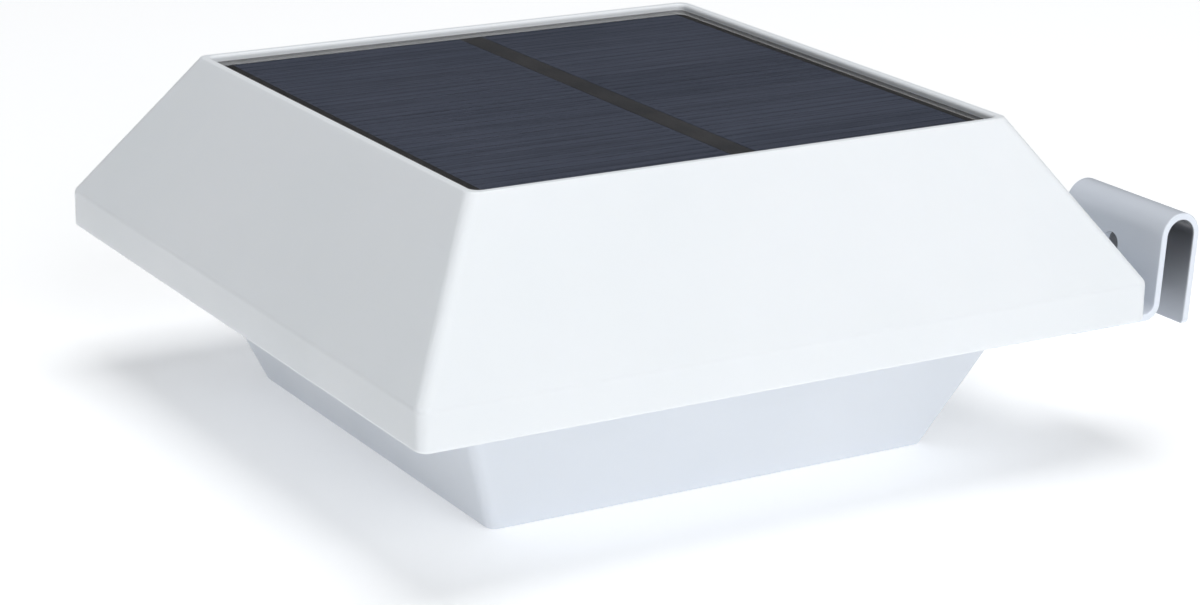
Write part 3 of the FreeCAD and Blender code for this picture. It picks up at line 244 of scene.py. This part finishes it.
def painted_steel(name):
    """Grey-white paint on bent strip: orange peel, end faces painted whiter as a highlight, painted
    shade inside the hook.
    """
    s = Shader(name)
    clouds = s.ramp(s.noise(30, 2), 0.2, 0.8)
    tone = s.mix(clouds, rgb(210, 215, 223), rgb(203, 208, 217))
    # painted highlight: faces that look along X, as the lit end faces do, are made whiter
    painted_end_highlight = s.math("ABSOLUTE", s.split(s.normal())["X"])
    tone = s.mix(s.ramp(painted_end_highlight, 0.45, 0.8), tone, rgb(229, 235, 244))
    # painted shade: faces inside the hook are made dark, more towards the arch
    tone = s.mix(hook_painted_shade(s), tone, rgb(38, 38, 46))
    rough = s.ramp(s.noise(150, 2), 0.2, 0.8, 0.31, 0.35)
    peel = s.bump(s.noise(1100, 2), 0.12, 0.04 * MM)
    return s.finish(s.principled(
        Base_Color=tone, Roughness=rough, Normal=peel, IOR=1.5, Coat_Weight=0.25,
        Coat_Roughness=0.15))


def zinc(name):
    """Zinc-plated screws: slight yellowing in patches, fine scratches along Y."""
    s = Shader(name)
    tone = s.mix(s.ramp(s.noise(300, 3), 0.35, 0.65), rgb(188, 188, 186), rgb(160, 158, 150))
    scratch = s.noise(2400, 2, stretch=(1, 0.1, 1))
    return s.finish(s.principled(
        Base_Color=tone, Metallic=0.95, Roughness=s.ramp(scratch, 0.3, 0.7, 0.28, 0.48),
        Normal=s.bump(scratch, 0.15, 0.02 * MM)))


FINISHES = {
    "shell_white": (moulded_white, rgb(239, 242, 245), rgb(234, 238, 241), 0.38, 70),
    "base_white": (moulded_white, rgb(228, 231, 234), rgb(220, 224, 228), 0.50, 60),
    "lens_frosted": (frosted_lens,),
    "panel_clear": (clear_cover,),
    "silicon": (silicon, rgb(93, 99, 114), rgb(101, 106, 121)),
    "printed_line": (silicon, rgb(46, 49, 60), rgb(56, 59, 71)),
    "bracket_paint": (painted_steel,),
    # rim_paint is whiter than the hook's paint: a painted highlight on the bead round the hole
    "rim_paint": (plain, rgb(244, 246, 250), rgb(234, 238, 244), 0.3),
    "screw_steel": (zinc,),
    "panel_black": (plain, rgb(12, 11, 12), rgb(20, 17, 16), 0.6),
    "border_print": (plain, rgb(82, 75, 70), rgb(68, 62, 58), 0.5),
    "bus_dark": (plain, rgb(89, 87, 86), rgb(76, 76, 77), 0.5),
    "seal_grey": (plain, rgb(120, 122, 124), rgb(98, 100, 102), 0.8),
    "button_grey": (plain, rgb(128, 132, 136), rgb(112, 116, 120), 0.55),
    "board_white": (plain, rgb(236, 236, 232), rgb(226, 226, 222), 0.3),
    "led_amber": (plain, rgb(244, 214, 120), rgb(232, 196, 96), 0.3),
    "component_black": (plain, rgb(34, 34, 36), rgb(26, 26, 28), 0.5),
    "tray_black": (plain, rgb(38, 38, 40), rgb(30, 30, 32), 0.55),
    "cell_steel": (plain, rgb(190, 190, 192), rgb(176, 176, 178), 0.3, 0.9),
    "sleeve_blue": (plain, rgb(36, 84, 160), rgb(30, 74, 146), 0.25),
    "contact_nickel": (plain, rgb(196, 192, 180), rgb(176, 172, 162), 0.3, 0.95),
    "board_green": (plain, rgb(24, 104, 60), rgb(20, 88, 52), 0.35),
    "capacitor_can": (plain, rgb(186, 188, 192), rgb(172, 174, 178), 0.35, 0.8),
    "socket_ivory": (plain, rgb(232, 226, 206), rgb(220, 214, 196), 0.45),
    "lead_red": (plain, rgb(190, 30, 24), rgb(168, 24, 20), 0.35),
    "lead_black": (plain, rgb(26, 26, 26), rgb(20, 20, 20), 0.35),
}
MATERIALS = {name: make(name, *values) for name, (make, *values) in FINISHES.items()}

for subpart in frame["record"]["subparts"]:
    finishes = frame["nodes"][subpart["node"]].data.materials
    finishes.clear()
    finishes.append(MATERIALS[subpart["material_slot"]])


# ---- pieces that the CAD model leaves out ----------------------------------------------------

LINE_PITCH = 2.0 * MM          # from one printed line of the cells to the next
LINE_WIDTH = 0.30 * MM
WIDTH_SHARES = 0.45, 1.15      # least and most of that width, along one line
LINE_HEIGHT = 0.04 * MM
LINE_STATIONS = 14             # places along a line where its width changes
LINE_DRIFT = 0.05 * MM         # how far a line may lie from its place
LINE_WOBBLE = 0.03 * MM        # how far a point of it may lie from its middle
LINE_ENDS = 0.3 * MM, 0.9 * MM    # least and most from a line's end to the edge of the cells
SUNK = 0.01 * MM               # how far a bead's foot goes into what it lies on

PRINT_PLAY = 0.04 * MM         # from the black border print to the edge of the board
PRINT_DEPTH = 0.05 * MM        # how far that print reaches into the cover, and below it
PRINT_OVERLAP = 0.5 * MM       # how far it covers the edges of the cells
PRINT_OUTER_RADIUS = 0.8 * MM  # its round corners outside
PRINT_INNER_RADIUS = 0.4 * MM  # and inside
BROWN_LINE_INSET = 1.1 * MM    # from the outside of the print to the brown line on it
BROWN_LINE_RADIUS = 0.6 * MM   # round corners of that line
BROWN_LINE_WIDTH = 0.4 * MM
BROWN_LINE_HEIGHT = 0.03 * MM
CORNER_STEPS = 6               # stretches in each round corner of the print

RIM_BEAD = 0.2 * MM            # radius of the bead of paint round a hook's hole
RIM_STEPS, RIM_SIDES = 40, 8   # points round the hole, and round the bead

# A bead's section, as shares of its half width and of its height.
BEAD_SECTION = [(-1.0, 0.0), (-0.72, 0.7), (0.0, 1.0), (0.72, 0.7), (1.0, 0.0)]


def skin(mesh, rings, closed):
    """Faces between each ring of points and the next, and from the last to the first if closed."""
    for ring, following in zip(rings, rings[1:] + rings[:1] if closed else rings[1:]):
        for i in range(len(ring)):
            j = (i + 1) % len(ring)
            mesh.faces.new((ring[i], ring[j], following[j], following[i]))


def bead(mesh, path, widths, height, closed=False):
    """A low rounded bead along a level path, as a closed skin."""
    rings = []
    count = len(path)
    for i, (point, width) in enumerate(zip(path, widths)):
        before = path[(i - 1) % count] if closed or i else point
        after = path[(i + 1) % count] if closed or i < count - 1 else point
        along = (after - before).normalized()
        across = Vector((along.y, -along.x, 0.0))
        rings.append([mesh.verts.new(point + across * (u * width / 2) + Vector((0, 0, v * height)))
                      for u, v in BEAD_SECTION])
    skin(mesh, rings, closed)
    if not closed:
        mesh.faces.new(rings[0])
        mesh.faces.new(list(reversed(rings[-1])))


def add_piece(name, mesh, material, smooth=True):
    """Turns a bmesh into a piece that rides on the body called lamp."""
    bmesh.ops.recalc_face_normals(mesh, faces=mesh.faces)
    data = bpy.data.meshes.new(name)
    mesh.to_mesh(data)
    mesh.free()
    for face in data.polygons:
        face.use_smooth = smooth
    data.materials.append(MATERIALS[material])
    piece = add_object(name, data)
    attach(piece, "lamp")


def add_cell_lines(node):
    """The dark printed lines across one half of the solar cells."""
    low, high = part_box(node)
    mesh = bmesh.new()
    for i in range(round((high[0] - low[0]) / LINE_PITCH)):
        x = low[0] + (i + 0.5) * LINE_PITCH + rng.uniform(-LINE_DRIFT, LINE_DRIFT)
        first = low[1] + rng.uniform(*LINE_ENDS)
        last = high[1] - rng.uniform(*LINE_ENDS)
        path = [Vector((x + rng.uniform(-LINE_WOBBLE, LINE_WOBBLE),
                        first + (last - first) * j / (LINE_STATIONS - 1), high[2] - SUNK))
                for j in range(LINE_STATIONS)]
        widths = [LINE_WIDTH * rng.uniform(*WIDTH_SHARES) for _ in path]
        bead(mesh, path, widths, LINE_HEIGHT)
    add_piece(f"{node}_lines", mesh, "printed_line")


def round_square(half, radius, level):
    """The outline of a level square with round corners, as points."""
    points = []
    for quarter in range(4):
        turn = quarter * math.pi / 2
        corner = Matrix.Rotation(turn, 3, "Z") @ Vector((half - radius, half - radius, 0))
        for i in range(CORNER_STEPS + 1):
            angle = turn + math.pi / 2 * i / CORNER_STEPS
            points.append(corner + Vector((math.cos(angle), math.sin(angle), 0)) * radius
                          + Vector((0, 0, level)))
    return points


def add_border():
    """The black print under the edge of the clear cover, with a thin brown line on it."""
    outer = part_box("panel_board")[1][0] - PRINT_PLAY
    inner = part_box("solar_cells_front")[1][0] - PRINT_OVERLAP
    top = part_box("panel_cover")[0][2] + PRINT_DEPTH
    bottom = top - 2 * PRINT_DEPTH
    mesh = bmesh.new()
    loops = [[mesh.verts.new(point) for point in round_square(half, radius, level)]
             for half, radius, level in ((inner, PRINT_INNER_RADIUS, top),
                                         (outer, PRINT_OUTER_RADIUS, top),
                                         (outer, PRINT_OUTER_RADIUS, bottom),
                                         (inner, PRINT_INNER_RADIUS, bottom))]
    skin(mesh, loops, closed=True)
    add_piece("board_border", mesh, "panel_black", smooth=False)

    path = round_square(outer - BROWN_LINE_INSET, BROWN_LINE_RADIUS, top - SUNK)
    mesh = bmesh.new()
    bead(mesh, path, [BROWN_LINE_WIDTH] * len(path), BROWN_LINE_HEIGHT, closed=True)
    add_piece("board_border_line", mesh, "border_print")


def add_hole_rims():
    """The bead of paint round the fixing hole in the front leg of each hook; its whiter colour is a
    painted highlight.
    """
    holes = mount("hook_holes")
    radius = holes["dims"]["hole_r_mm"] * MM
    aside = Vector((holes["dims"]["spacing_x_mm"] * MM / 2, 0, 0))
    front = Vector((0, -math.cos(LEG_LEAN), math.sin(LEG_LEAN)))
    for side, word in ((-1, "left"), (1, "right")):
        centre = Vector(holes["pos_m"]) + aside * side
        mesh = bmesh.new()
        rings = []
        for i in range(RIM_STEPS):
            turn = 2 * math.pi * i / RIM_STEPS
            out = Vector((math.cos(turn), math.sin(turn) * math.sin(LEG_LEAN),
                          math.sin(turn) * math.cos(LEG_LEAN)))
            angles = [2 * math.pi * j / RIM_SIDES for j in range(RIM_SIDES)]
            rings.append([mesh.verts.new(centre + out * (radius + RIM_BEAD * (1 + math.cos(a)))
                                         + front * (RIM_BEAD * math.sin(a))) for a in angles])
        skin(mesh, rings, closed=True)
        add_piece(f"{word}_hole_rim", mesh, "rim_paint")


for half_panel in ("solar_cells_front", "solar_cells_rear"):
    add_cell_lines(half_panel)
add_border()
add_hole_rims()


# ---- camera, light and stage ----------------------------------------------------------------

CAMERA_PLACE = Vector((372.7, -220.7, 154.9)) * MM
CAMERA_TARGET = Vector((3.0, 0.4, 17.5)) * MM
CAMERA_ROLL = math.radians(0.93)
SENSOR_WIDTH = 36.0            # mm
FOCAL_LENGTH = 92.7            # mm

FLOOR_HALF = 3.0               # half the side of the floor, in metres
FLOOR_GLOW = 0.28              # keeps the paper white away from the lamps

# The surroundings are dim low down and brighter above: height on the unit sphere, strength.
SKY_LOW, SKY_HIGH = (0.30, 0.03), (0.75, 0.22)

# Square lamps: place, aim, side in metres, power in watts, colour.
LAMPS = {
    "key": ((1.30, -0.10, 0.60), (0, 0, 0.02), 0.9, 9.3, (0.99, 0.995, 1.0)),
    "top": ((0.0, 0.1, 1.4), (0, 0, 0), 1.0, 12.2, (0.99, 0.995, 1.0)),
    "fill": ((-0.2, -1.3, 0.45), (0, 0, 0.02), 0.9, 0.7, (0.97, 0.985, 1.0)),
}


def add_camera():
    """A long lens that looks a little down on the front right corner."""
    camera = add_object("Camera", bpy.data.cameras.new("Camera"))
    aim = (CAMERA_TARGET - CAMERA_PLACE).to_track_quat("-Z", "Y")
    camera.matrix_world = (Matrix.Translation(CAMERA_PLACE) @ aim.to_matrix().to_4x4()
                           @ Matrix.Rotation(CAMERA_ROLL, 4, "Z"))
    camera.data.sensor_width = SENSOR_WIDTH
    camera.data.lens = FOCAL_LENGTH
    camera.data.clip_start = 10 * MM
    bpy.context.scene.camera = camera


def add_area(name, position, target, size, power, colour):
    """A square lamp that shines from position towards target."""
    light = bpy.data.lights.new(name, "AREA")
    light.shape = "SQUARE"
    light.size = size
    light.energy = power
    light.color = colour
    lamp = add_object(name, light)
    lamp.location = position
    lamp.rotation_euler = (Vector(target) - Vector(position)).to_track_quat("-Z", "Y").to_euler()


def add_floor():
    """A wide sheet of white paper."""
    mesh = bpy.data.meshes.new("floor")
    corners = [(x * FLOOR_HALF, y * FLOOR_HALF, 0) for x, y in ((-1, -1), (1, -1), (1, 1), (-1, 1))]
    mesh.from_pydata(corners, [], [(0, 1, 2, 3)])
    s = Shader("floor_paper")
    tone = s.mix(s.noise(3, 2), (0.93, 0.935, 0.94, 1), (0.91, 0.915, 0.92, 1))
    mesh.materials.append(s.finish(s.principled(
        Base_Color=tone, Roughness=0.9, Emission_Color=(1, 1, 1, 1),
        Emission_Strength=FLOOR_GLOW)))
    floor = add_object("floor", mesh)


def add_world():
    """Pale surroundings that get brighter upwards."""
    world = bpy.data.worlds.new("studio")
    world.use_nodes = True
    tree = world.node_tree
    coords = tree.nodes.new("ShaderNodeTexCoord")
    split = tree.nodes.new("ShaderNodeSeparateXYZ")
    fade = tree.nodes.new("ShaderNodeMapRange")
    for key, given in zip(("From Min", "To Min", "From Max", "To Max"), SKY_LOW + SKY_HIGH):
        fade.inputs[key].default_value = given
    background = tree.nodes["Background"]
    background.inputs["Color"].default_value = (0.93, 0.96, 1.0, 1)
    tree.links.new(coords.outputs["Generated"], split.inputs["Vector"])
    tree.links.new(split.outputs["Z"], fade.inputs["Value"])
    tree.links.new(fade.outputs["Result"], background.inputs["Strength"])
    bpy.context.scene.world = world


add_camera()
add_floor()
add_world()
for lamp_name, lamp_values in LAMPS.items():
    add_area(lamp_name, *lamp_values)
bpy.context.scene.view_settings.view_transform = "Standard"
